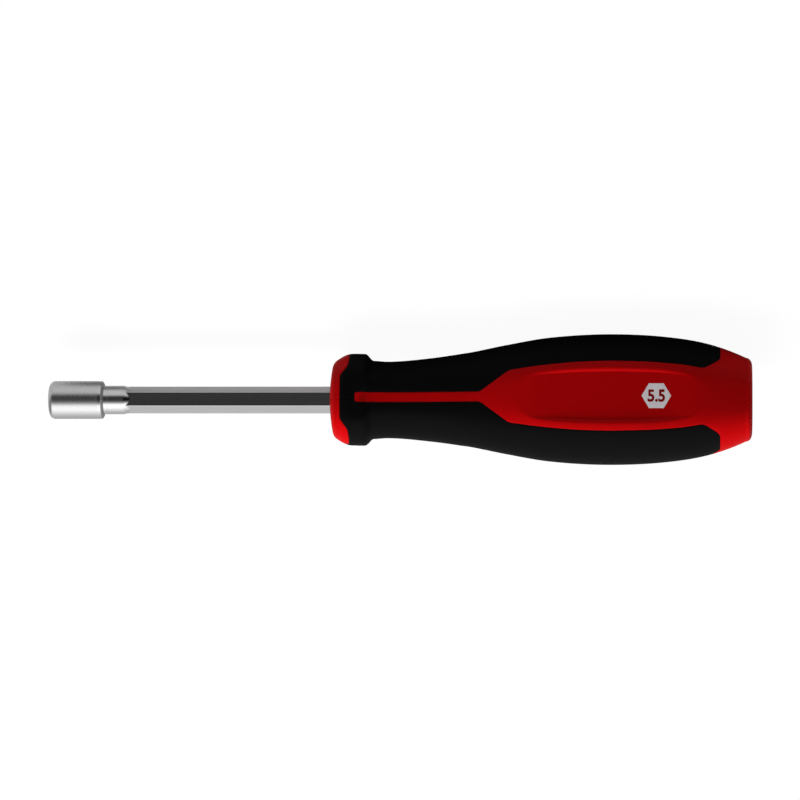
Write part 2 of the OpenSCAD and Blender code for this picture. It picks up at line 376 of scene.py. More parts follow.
class Bench(Board):
    """Board of one material, with a principled shader on its output."""

    def __init__(self, name: str) -> None:
        """Starts the material."""
        self.material = bpy.data.materials.new(name)
        self.material.use_nodes = True
        super().__init__(self.material.node_tree)
        self.shader = self.add("ShaderNodeBsdfPrincipled")
        self.output = self.add("ShaderNodeOutputMaterial", {"Surface": (self.shader, "BSDF")})

    def noise(self, scale: float, detail: float, stretch: tuple[float, float, float] = (1, 1, 1)) -> Output:
        """Noise on object coordinates.

        Args:
            scale: Noise scale per metre.
            detail: Octaves.
            stretch: Factors on X, Y and Z before the noise.

        Returns:
            The noise.
        """
        mapping = self.add("ShaderNodeMapping", {"Vector": (self.coords, "Object"), "Scale": stretch})
        values = {"Vector": (mapping, "Vector"), "Scale": scale, "Detail": detail}
        return self.add("ShaderNodeTexNoise", values), "Fac"

    def between(self, noise: Output, low: float, high: float) -> Output:
        """A value that runs from low to high over the range of a noise."""
        values = {
            "Value": noise,
            "From Min": NOISE_LOW,
            "From Max": NOISE_HIGH,
            "To Min": low,
            "To Max": high,
        }
        return self.add("ShaderNodeMapRange", values), "Result"

    def blend(self, low: Colour | Output, high: Colour, share: Output) -> Output:
        """Colour at a share of the way from low, which may be an output, to high."""
        base = low if isinstance(low[0], bpy.types.Node) else (*low, 1)
        values = {"Factor": share, MIX_LOW: base, MIX_HIGH: (*high, 1)}
        return self.add("ShaderNodeMix", values, data_type="RGBA"), MIX_OUT

    def field(self, name: str) -> Output:
        """A field that the mesh carries."""
        return self.add("ShaderNodeAttribute", attribute_name=name, attribute_type="GEOMETRY"), "Fac"

    def wear(self) -> Output:
        """The mesh's wear, broken into patches by a noise."""
        patches = self.between(self.noise(*WEAR_NOISE), *WEAR_SHARES)
        return self.calc("MULTIPLY", self.field("wear"), patches)

    def bump(self, height: Output, strength: float, depth: float) -> Output:
        """Normal over a height of the given depth in millimetres."""
        values = {"Height": height, "Strength": strength, "Distance": depth * MM}
        return self.add("ShaderNodeBump", values), "Normal"


@dataclass(frozen=True)
class Finish:
    """A finish that can be put on a piece.

    Attributes:
        name: Name of the material.
    """

    name: str

    def build(self, bench: Bench) -> None:
        """Adds the nodes of the finish."""
        raise NotImplementedError

    def material(self) -> bpy.types.Material:
        """The material, made once."""
        found = bpy.data.materials.get(self.name)
        if found:
            return found
        bench = Bench(self.name)
        self.build(bench)
        return bench.material


@dataclass(frozen=True)
class MouldedPlastic(Finish):
    """Hard plastic with a faint cloud of colour, a fine moulded grain, painted shade in the seams and rubbed
    edges.

    Attributes:
        low, high: Colours that the cloud runs between.
        seam: Colour of the painted shade in the seam against the grip.
        rubbed: Colour where an edge is worn.
        rough: Lowest and highest roughness.
        grain: Depth of the grain in millimetres.
        relief: Strength of the grain's bump.
        specular: Specular level.
        cloud_noise, grain_noise: Scale per metre and octaves.
    """

    low: Colour
    high: Colour
    seam: Colour
    rubbed: Colour
    rough: tuple[float, float] = (0.40, 0.50)
    grain: float = 0.012
    relief: float = 0.5
    specular: float = 0.035
    cloud_noise: tuple[float, float] = (55, 3)
    grain_noise: tuple[float, float] = (5200, 2)

    def build(self, bench: Bench) -> None:
        """Clouds in the colour, painted shade towards the seam, grain in the roughness and the bump."""
        cloud = bench.noise(*self.cloud_noise)
        grain = bench.noise(*self.grain_noise)
        # Painted shade: the colour darkens towards the seam colour where the mesh rolls down into the seam.
        seam_shaded = bench.blend(bench.blend(self.low, self.high, cloud), self.seam, bench.field("seam"))
        bench.feed(bench.shader, {
            "Base Color": bench.blend(seam_shaded, self.rubbed, bench.wear()),
            "Roughness": bench.between(grain, *self.rough),
            "Specular IOR Level": self.specular,
            "Normal": bench.bump(grain, self.relief, self.grain),
        })


@dataclass(frozen=True)
class SoftGrip(Finish):
    """Soft moulded rubber: near black, matt, with a fine leathery grain.

    Attributes:
        low, high: Colours that the cloud runs between.
        rough: Lowest and highest roughness.
        grain: Depth of the grain in millimetres.
        relief: Strength of the grain's bump.
        specular: Specular level.
        cloud_noise, grain_noise: Scale per metre and octaves.
        cell_scale: Scale per metre of the leathery cells.
        cell_share: Height of the cells against that of the grain.
    """

    low: Colour
    high: Colour
    rough: tuple[float, float] = (0.55, 0.70)
    grain: float = 0.035
    relief: float = 0.5
    specular: float = 0.06
    cloud_noise: tuple[float, float] = (70, 4)
    grain_noise: tuple[float, float] = (4200, 3)
    cell_scale: float = 2600.0
    cell_share: float = 0.6

    def build(self, bench: Bench) -> None:
        """Two grains, one in the other, for the bump, and the finer one for the roughness."""
        cloud = bench.noise(*self.cloud_noise)
        fine = bench.noise(*self.grain_noise)
        values = {"Vector": (bench.coords, "Object"), "Scale": self.cell_scale}
        cell = bench.add("ShaderNodeTexVoronoi", values)
        height = bench.calc("MULTIPLY_ADD", (cell, "Distance"), self.cell_share, fine)
        bench.feed(bench.shader, {
            "Base Color": bench.blend(self.low, self.high, cloud),
            "Roughness": bench.between(fine, *self.rough),
            "Specular IOR Level": self.specular,
            "Normal": bench.bump(height, self.relief, self.grain),
        })


@dataclass(frozen=True)
class PlatedSteel(Finish):
    """Plated steel with the fine lines of the tool that shaped it, polished along worn edges, matt in parts.

    Where it is matt, its colour is a darker grey: painted shade.

    Attributes:
        low, high: Colours that the cloud runs between.
        marks: Direction of the lines.
        rough: Lowest and highest roughness.
        depth: Depth of the lines in millimetres.
        relief: Strength of the lines' bump.
        rubbed: Colour where an edge is worn.
        polish: Roughness that wear takes away.
        matt_shade: Colour of the painted shade where the steel is matt.
        matt: Roughness that is added there, and taken away where the mesh's field is below 0.
        cloud_noise: Scale per metre and octaves.
        line_noise: Scale and octaves of the lines, on top of their direction's scales.
    """

    low: Colour
    high: Colour
    marks: Marks
    rough: tuple[float, float]
    depth: float
    relief: float = 0.25
    rubbed: Colour = (0.90, 0.90, 0.89)
    polish: float = 0.06
    # Painted shade: the darker grey of the matt parts.
    matt_shade: Colour = grey(0.42)
    matt: float = 0.3
    cloud_noise: tuple[float, float] = (160, 3)
    line_noise: tuple[float, float] = (1, 2)

    def build(self, bench: Bench) -> None:
        """Lines in the roughness and the bump, a slow cloud in the colour, wear in both, and painted shade
        where matt.
        """
        lines = bench.noise(*self.line_noise, self.marks.value)
        cloud = bench.noise(*self.cloud_noise)
        wear, matt_shade = bench.wear(), bench.field("matt")
        worn = bench.blend(bench.blend(self.low, self.high, cloud), self.rubbed, wear)
        coarse = bench.calc("MULTIPLY_ADD", matt_shade, self.matt, bench.between(lines, *self.rough))
        bench.feed(bench.shader, {
            # Painted shade: a darker grey where the steel is matt.
            "Base Color": bench.blend(worn, self.matt_shade, matt_shade),
            "Roughness": bench.calc("MULTIPLY_ADD", wear, -self.polish, coarse),
            "Metallic": 1.0,
            "Normal": bench.bump(lines, self.relief, self.depth),
        })


RED = MouldedPlastic(
    "red moulded plastic",
    low=(0.50, 0.0012, 0.0022),
    high=(0.54, 0.0016, 0.0030),
    # Painted shade in the seam against the grip.
    seam=(0.14, 0.001, 0.001),
    rubbed=(0.60, 0.012, 0.014),
)
CORE = MouldedPlastic("core plastic", grey(0.07), grey(0.10), seam=grey(0.05), rubbed=grey(0.12))
INK = MouldedPlastic(
    "badge ink",
    low=(0.88, 0.83, 0.86),
    high=(0.93, 0.88, 0.91),
    seam=grey(0.5),
    rubbed=(0.8, 0.7, 0.7),
    rough=(0.5, 0.6),
    grain=0.006,
)
NUMBER = MouldedPlastic(
    "number ink",
    low=(0.24, 0.002, 0.003),
    high=(0.28, 0.003, 0.004),
    seam=(0.2, 0.002, 0.002),
    rubbed=(0.4, 0.01, 0.01),
)
GRIP = SoftGrip("soft black grip", (0.0018, 0.0018, 0.0020), (0.0027, 0.0027, 0.0029))
SATIN = PlatedSteel(
    "satin turned steel", grey(0.76), (0.82, 0.82, 0.815), Marks.TURNED, rough=(0.24, 0.29), depth=0.001
)
BRIGHT = PlatedSteel(
    "bright drawn steel", (0.78, 0.78, 0.785), grey(0.84), Marks.DRAWN, rough=(0.14, 0.20), depth=0.002
)


def round_columns() -> Array:
    """Angles round the axis for six-sided pieces, closest together at the six corners."""
    off = np.array(FLAT_TO_CORNER)
    side = np.concatenate([-off[:0:-1], off, [CORNER]])
    return np.radians((side[None, :] + np.arange(0, 360, 2 * CORNER)[:, None]).ravel())


@dataclass(frozen=True)
class Blade:
    """The steel end of the tool: a turned socket pressed on a drawn six-sided shaft.

    Lengths are in millimetres from the socket's mouth, and angles in degrees.
    """

    socket_d: float
    socket_len: float
    shaft_end: float
    recess_af: float = 5.6
    recess_depth: float = 9.0
    recess_ease: float = 0.01
    socket_round: float = 1.6
    lead_in: float = 0.12
    lead_depth: float = 0.8
    shoulder_len: float = 0.3
    shoulder_round: float = 0.75
    shoulder_turn: float = 70.0
    shoulder_lip: float = 0.1
    # Angles over the shoulder at which the steel starts to turn matt, with painted shade, and is fully so.
    shoulder_matt: tuple[float, float] = (16.0, 40.0)
    ring_polish: float = 0.65
    ring_lead: float = 0.38
    spigot_d: float = 6.4
    neck_d: float = 7.75
    neck_len: float = 5.4
    neck_slope: float = 21.0
    neck_ease: float = 0.03
    line_at: float = 0.95
    line_w: float = 0.4
    line_depth: float = 0.05
    hex_af: float = 6.35
    hex_crisp: float = 100.0
    hex_wear: float = 4.0
    bore_d: float = 4.2
    plug_d: float = 4.9
    plug_len: float = 6.0
    groove_at: float = 12.0
    groove_step: float = 22.0
    groove_w: float = 4.0
    groove_depth: float = 0.4
    # Distances of rows from an edge: two that hold it crisp, then the first plain one.
    support: tuple[float, float] = (0.05, 0.3)
    plain_from: float = 1.0
    # Numbers of rows over the stretches of both profiles.
    front_rows: int = 19
    barrel_rows: int = 9
    shoulder_rows: int = 15
    recess_rows: int = 9
    lead_rows: int = 33
    line_rows: int = 9
    neck_rows: int = 7
    cone_rows: int = 56
    hex_rows: int = 24

    def socket_points(self, psi: Array) -> tuple[Array, dict[str, Array]]:
        """The socket as a closed profile carried round the axis.

        The profile runs from the mouth over a quarter circle to the barrel, over a small arc and a
        cone to the back, in along the spigot's hole, and out through the recess. The recess is the
        larger of a hexagon and a cone that closes at 45 degrees, which leaves a lead-in at the corners.
        Wear is a half wave over the front arc. The barrel ends in a polished ring, and the back is matt,
        with painted shade that darkens its colour.

        Args:
            psi: Angles of the columns.

        Returns:
            Points, rows by columns, and the fields that the finish reads.
        """
        top, spigot_r = self.socket_d / 2, self.spigot_d / 2
        front = np.radians(np.linspace(0, 90, self.front_rows))
        back = np.radians(np.linspace(0, self.shoulder_turn, self.shoulder_rows))
        barrel_end = self.socket_len - self.shoulder_len - self.shoulder_round * math.sin(back[-1])
        support = np.array(self.support)
        plain = self.socket_round + self.plain_from, barrel_end - self.plain_from
        barrel = np.concatenate([
            self.socket_round + support,
            np.linspace(*plain, self.barrel_rows),
            [barrel_end - self.ring_lead],
            barrel_end - support[::-1],
        ])
        out_s = np.concatenate([
            self.socket_round * (1 - np.cos(front)),
            barrel,
            barrel_end + self.shoulder_round * np.sin(back),
            [self.socket_len, self.socket_len, self.recess_depth],
        ])
        out_r = np.concatenate([
            top - self.socket_round * (1 - np.sin(front)),
            np.full_like(barrel, top),
            top - self.shoulder_round * (1 - np.cos(back)),
            [self.neck_d / 2 + self.shoulder_lip, spigot_r, spigot_r],
        ])
        deep = np.linspace(self.recess_depth, self.plain_from, self.recess_rows)
        in_s = np.concatenate([deep, np.linspace(self.lead_depth, 0, self.lead_rows)])
        cone = self.recess_af / math.sqrt(3) + self.lead_in - in_s
        in_r = larger(hexagon(psi, self.recess_af / 2)[None, :], cone[:, None], self.recess_ease)
        s = np.concatenate([out_s, in_s])[:, None]
        r = np.concatenate([np.repeat(out_r[:, None], len(psi), axis=1), in_r])

        wear, matt = np.zeros_like(r), np.zeros_like(r)
        wear[:len(front)] = np.sin(2 * front)[:, None]
        shoulder = len(front) + len(barrel)
        lip = shoulder + len(back)
        matt_from, matt_to = np.radians(self.shoulder_matt)
        dulled = ease((back - matt_from) / (matt_to - matt_from))
        # Below 0 the ring is polished; above 0 the back is matt and darkened as painted shade.
        matt[shoulder - len(support):shoulder] = -self.ring_polish
        matt[shoulder:lip] = mix(-self.ring_polish, 1, dulled)[:, None]
        matt[lip] = 1
        return place(s, r, psi[None, :]), {"wear": wear, "matt": matt}

    def shaft_points(self, psi: Array) -> tuple[Array, dict[str, Array]]:
        """The shaft as a closed profile carried round the axis.

        Outside it is the larger of a hexagon and a round neck that runs out in a cone, so each flat
        begins in an arc. A fine line is turned in the neck. Two grooves lock it in the handle, and the
        bore widens at the back for its plug. Wear rises over the last degrees before a corner.

        Args:
            psi: Angles of the columns.

        Returns:
            Points, rows by columns, and the fields that the finish reads.
        """
        slope = math.tan(math.radians(self.neck_slope))
        neck_end = self.socket_len + self.neck_len
        cone_end = neck_end + (self.neck_d - self.hex_af) / 2 / slope
        line = self.socket_len + self.line_at
        last_groove = self.shaft_end - self.groove_at
        grooves = np.array([last_groove - self.groove_step, last_groove])
        edges = (grooves[:, None] + np.array([0, 0, self.groove_w, self.groove_w])).ravel()
        margin, overlap = 0.3, 0.24
        plain = np.concatenate([
            [self.socket_len],
            line + self.line_w * np.linspace(-0.5, 0.5, self.line_rows),
            np.linspace(line + self.line_w, neck_end - margin, self.neck_rows),
            np.linspace(neck_end - overlap, cone_end + margin, self.cone_rows),
            np.linspace(cone_end + self.plain_from, grooves[0] - self.plain_from, self.hex_rows),
        ])
        s = np.concatenate([plain, edges, [self.shaft_end]])
        cut = np.concatenate([np.zeros(len(plain), bool), np.tile([False, True, True, False], 2), [False]])
        across = np.clip((s - line) / self.line_w, -0.5, 0.5)
        neck = self.neck_d / 2 - np.clip(s - neck_end, 0, None) * slope
        neck = neck - self.line_depth * np.cos(math.pi * across) ** 2
        six = hexagon(psi, self.hex_af / 2, self.hex_crisp)
        outside = larger(six[None, :], neck[:, None], self.neck_ease)
        outside = np.where(cut[:, None], self.hex_af / 2 - self.groove_depth, outside)
        plug_at = self.shaft_end - self.plug_len
        ends = np.array([
            [self.shaft_end, self.plug_d / 2],
            [plug_at, self.plug_d / 2],
            [plug_at, self.bore_d / 2],
            [self.recess_depth, self.bore_d / 2],
            [self.recess_depth, self.spigot_d / 2],
            [self.socket_len, self.spigot_d / 2],
        ])
        stations = np.concatenate([s, ends[:, 0]])[:, None]
        radii = np.concatenate([outside, np.repeat(ends[:, 1:], len(psi), axis=1)])
        to_corner = CORNER - np.degrees(folded(psi, SIXTH))
        wear = np.broadcast_to(np.clip(1 - to_corner / self.hex_wear, 0, 1), radii.shape)
        return place(stations, radii, psi[None, :]), {"wear": wear}

    def build(self) -> None:
        """Makes both pieces and dresses them."""
        psi = round_columns()
        for name, (points, fields), finish, node, slot in (
            ("turned_socket", self.socket_points(psi), SATIN, Node.SOCKET, Slot.SATIN_STEEL),
            ("drawn_shaft", self.shaft_points(psi), BRIGHT, Node.SHAFT, Slot.BRIGHT_STEEL),
        ):
            piece = make_mesh(name, points, weave(points, closed=True), fields, STEEL_SHARP)
            fit_out(piece, finish, node)


@dataclass(frozen=True)
class HandleForm:
    """Outer form of the handle, and the line where hard plastic and grip meet.

    Lengths are in millimetres, places along the tool from the socket's mouth.
    """

    nose: float
    butt: float
    nose_d: float = 20.2
    collar_d: float = 25.1
    waist_d: float = 20.7
    palm_d: float = 35.6
    butt_d: float = 22.8
    flank_len: float = 5.2
    crown_len: float = 3.2
    crown_fall: float = 0.2
    step_len: float = 2.4
    step_lead: float = 1.2
    lead_turn: float = 24.0
    foot_rise: float = 0.45
    waist_at: float = 15.4
    palm_at: float = 75.6
    dome_r: float = 48.0
    butt_round: float = 2.3
    grip_t: float = 2.6
    grip_at: float = 3.4
    tip_at: float = 8.6
    stripe_w: float = 2.7
    stripe_at: float = 7.4
    stripe_corner: float = 0.4
    flare_at: float = 41.0
    flare_len: float = 7.8
    flare_w: float = 14.1
    panel_w: float = 18.8
    throat_w: float = 15.0
    throat_at: float = 4.5
    tip_spread: float = 3.0
    notch_w: float = 12.2
    notch_rise: float = 2.0
    notch_ease: float = 0.3
    notch_round: float = 0.3
    notch_sag: float = 0.7
    pocket_len: float = 58.0
    pocket_w: float = 13.3
    pocket_depth: float = 1.25
    pocket_wall: float = 1.75
    pocket_fillet: float = 0.1
    pocket_power: float = 0.28
    wall_power: float = 3.8
    wall_most: float = 1.5
    rise_power: float = 3.4
    # Least and most of the window that the pocket's floor takes up, and most of it with the walls.
    foot_share: tuple[float, float] = (0.35, 0.7)
    top_share: float = 0.92
    flat_rim: float = 0.97
    flat_collar: float = 0.875
    flat_waist: float = 0.945
    flat_palm: float = 0.925
    # How crisp the corners are at the rim, the crown, the foot and two places behind the waist.
    crisp_steps: tuple[float, ...] = (16, 26, 90, 60, 16)
    crisp_behind: tuple[float, float] = (5.0, 22.0)
    # Shares of a length and of a height or width, in order.
    swell: Curve = ((0, 0), (0.19, 0.118), (0.37, 0.336), (0.54, 0.615), (0.735, 0.882), (1, 1))
    taper: Curve = ((0, 0), (0.385, 0.10), (0.715, 0.405), (1, 1))
    taper_end: float = 2.7
    stripe_turn: Curve = ((0, 1), (0.4, 0.35), (1, 0))
    panel_rise: Curve = ((0, 0), (0.3, 0.5), (0.65, 0.87), (1, 1))
    panel_fall: Curve = ((0.45, 0.15), (0.78, 0.5), (1, 1))
    tip_turn: Curve = ((0.85, 0.1), (0.1, 0.75), (0, 1))
    # Numbers of heights in an average.
    window_steps: int = 13
    notch_steps: int = 9

    @property
    def rim(self) -> float:
        """Place of the nose's front rim."""
        return self.nose + self.nose_d**2 / 8 / self.dome_r

    @property
    def crown(self) -> float:
        """Start of the collar's crown."""
        return self.rim + self.flank_len

    @property
    def step(self) -> float:
        """End of the collar's crown."""
        return self.crown + self.crown_len

    @property
    def foot(self) -> float:
        """Foot of the step behind the collar."""
        return self.step + self.step_len

    @property
    def waist(self) -> float:
        """Place of the waist."""
        return self.nose + self.waist_at

    @property
    def palm(self) -> float:
        """Place of the fattest section."""
        return self.nose + self.palm_at

    @property
    def edge(self) -> float:
        """Start of the butt's rounding."""
        return self.butt - self.butt_round * math.sin(math.radians(45))

    @property
    def stripe(self) -> float:
        """Front end of the stripe."""
        return self.nose + self.stripe_at

    @property
    def flare(self) -> float:
        """Place where the stripe begins to widen."""
        return self.nose + self.flare_at

    @property
    def panel(self) -> float:
        """Front end of the panel."""
        return self.flare + self.flare_len

    @property
    def grip_end(self) -> float:
        """Place of the lobes' tips."""
        return self.butt - self.tip_at

    @property
    def throat(self) -> float:
        """Place where the panel is narrowest before the lobes' tips."""
        return self.grip_end - self.throat_at

    def flank_rise(self, s: Array) -> Array:
        """Share of the way up the flank: a quarter sine."""
        return np.sin(np.clip((s - self.rim) / self.flank_len, 0, 1) * math.pi / 2)

    def step_fall(self, s: Array) -> Array:
        """Share of the way down the step behind the collar: a half cosine."""
        return (1 - np.cos(np.clip((s - self.step) / self.step_len, 0, 1) * math.pi)) / 2

    def lobe(self, s: Array) -> Array:
        """Radius over the lobes: up the flank, a crown, down the step, then two smooth curves."""
        flank = mix(self.nose_d, self.collar_d, self.flank_rise(s))
        crown = self.collar_d - self.crown_fall * (s - self.crown) / self.crown_len
        foot_d = self.waist_d + self.foot_rise
        step = mix(self.collar_d - self.crown_fall, foot_d, self.step_fall(s))
        neck = mix(foot_d, self.waist_d, ease((s - self.foot) / (self.waist - self.foot)))
        up = (s - self.waist) / (self.palm - self.waist)
        swell = mix(self.waist_d, self.palm_d, curve_through(self.swell, up, 0))
        down = (s - self.palm) / (self.edge - self.palm)
        taper = mix(self.palm_d, self.butt_d, curve_through(self.taper, down, self.taper_end))
        zones = [s < self.crown, s < self.step, s < self.foot, s < self.waist, s < self.palm]
        return np.select(zones, [flank, crown, step, neck, swell], taper) / 2

    def flat(self, s: Array) -> Array:
        """Distance to a flat as a share of the lobe radius."""
        front = mix(self.flat_rim, self.flat_collar, self.flank_rise(s))
        up = np.clip((s - self.waist) / (self.palm - self.waist), 0, 1)
        back = mix(self.flat_waist, self.flat_palm, up)
        return np.where(s < self.step, front, mix(self.flat_collar, back, self.step_fall(s)))

    def crisp(self, s: Array) -> Array:
        """How crisp the corners between flats and lobes are: sharp round the waist, softer over the palm."""
        places = [self.rim, self.crown, self.foot, *(self.waist + d for d in self.crisp_behind)]
        return np.interp(s, places, self.crisp_steps)

    def section(self, a: Array, lobe: Array, flat: Array, crisp: Array) -> Array:
        """Radius of a section: a circle cut by three flats, joined by a power mean that eases the corners."""
        return lobe * (1 + (np.cos(folded(a, THIRD)) / flat) ** crisp) ** (-1 / crisp)

    def radius(self, s: Array, a: Array) -> Array:
        """Radius of the outer form at a place and an angle from a panel's middle.

        The step behind the collar comes a little sooner at a panel than at a lobe.

        Args:
            s: Places along the tool.
            a: Angles from the panel's middle.

        Returns:
            Radii.
        """
        rise = ease((s - self.rim) / (self.crown - self.rim))
        fall = ease((s - self.foot) / (self.waist - self.foot))
        near = ease(1 - folded(a, THIRD) / math.radians(self.lead_turn))
        s = s + self.step_lead * rise * (1 - fall) * near
        return self.section(a, self.lobe(s), self.flat(s), self.crisp(s))

    def angle_at(self, s: Array, across: Array) -> Array:
        """Angle from a panel's middle at which the form is that far across.

        It is asin(across / radius), worked out again until it settles.

        Args:
            s: Places along the tool.
            across: Distances from the panel's middle plane.

        Returns:
            Angles.
        """
        repeats, most = 12, 0.95
        a = np.zeros(np.broadcast(s, across).shape)
        for _ in range(repeats):
            a = np.arcsin(np.clip(across / self.radius(s, a), -most, most))
        return a

    def window(self, s: Array) -> Array:
        """Half width of the stripe and panel: straight runs, with corners averaged over a short stretch."""
        start, tip, corner = self.stripe, self.grip_end, self.stripe_corner
        rise, fall = self.palm - self.panel, self.throat - self.palm
        outline = [(start + u * corner, self.stripe_w / 2 - v * corner) for u, v in self.stripe_turn]
        outline += [(self.flare, self.stripe_w / 2)]
        outline += [
            (self.panel + u * rise, mix(self.flare_w, self.panel_w, v) / 2) for u, v in self.panel_rise
        ]
        outline += [
            (self.palm + u * fall, mix(self.panel_w, self.throat_w, v) / 2) for u, v in self.panel_fall
        ]
        outline += [
            (tip - u * self.throat_at, self.throat_w / 2 + v * self.tip_spread) for u, v in self.tip_turn
        ]
        # Places, and how far the outline is averaged there.
        spans = (
            (start, 0), (start + 1.5, 0.2), (self.flare - 4, 0.5), (self.flare, 0.7), (self.panel, 0.7),
            (self.panel + 0.3 * rise, 3.5), (self.throat - 1, 1.0), (tip - 0.6, 0.35), (tip, 0),
        )
        return averaged(outline, s, np.interp(s, *np.array(spans).T), self.window_steps)

    def grip_start(self, a: Array) -> Array:
        """Place where the grip begins: straight beside a panel, then back at 45 degrees towards the lobe."""
        across = (self.collar_d / 2 - self.notch_sag) * np.sin(folded(a, THIRD))
        outline = (
            (self.notch_w / 2, 0),
            (self.notch_w / 2 + self.notch_rise, self.notch_rise),
            (self.collar_d / 2 * math.sin(SIXTH), self.notch_rise + self.notch_ease),
        )
        return self.nose + self.grip_at + averaged(outline, across, self.notch_round, self.notch_steps)

    def pocket_share(self, s: Array) -> Array:
        """Place along the pocket: 0 at its middle, 1 at either end."""
        return np.clip(np.abs(s - self.palm) / (self.pocket_len / 2), 0, 1)

    def pocket_foot(self, s: Array) -> Array:
        """Half width of the pocket's floor, kept inside the window where there is no pocket."""
        window = self.window(s)
        lens = self.pocket_w / 2 * (1 - self.pocket_share(s) ** 2) ** self.pocket_power
        return np.clip(lens, *(share * window for share in self.foot_share))

    def pocket_top(self, s: Array) -> Array:
        """Half width of the pocket over its walls, kept off the window's edge."""
        return np.minimum(self.pocket_foot(s) + self.pocket_wall, self.top_share * self.window(s))

    def pocket_drop(self, s: Array, a: Array) -> Array:
        """How far the surface sinks towards the axis inside the pocket.

        The floor is flat across and follows the panel lengthways, a little below its middle, and it
        rises to the panel at both ends. A power curve rolls from the panel down each wall, steepest
        at its foot, where a fillet joins it to the floor.

        Args:
            s: Places along the tool.
            a: Angles from the panel's middle.

        Returns:
            Lengths along the panel's direction.
        """
        r = self.radius(s, a)
        height, across = r * np.cos(a), np.abs(r * np.sin(a))
        fade = (1 - self.pocket_share(s) ** 4) ** self.rise_power
        floor = np.minimum(self.radius(s, np.zeros_like(a)) - self.pocket_depth * fade, height)
        foot, top = self.pocket_foot(s), self.pocket_top(s)
        climb = np.clip((top - across) / (top - foot), 0, self.wall_most) ** self.wall_power
        wall = height - (height - floor) * climb
        return np.clip(height - larger(floor, wall, self.pocket_fillet * fade), 0, None)


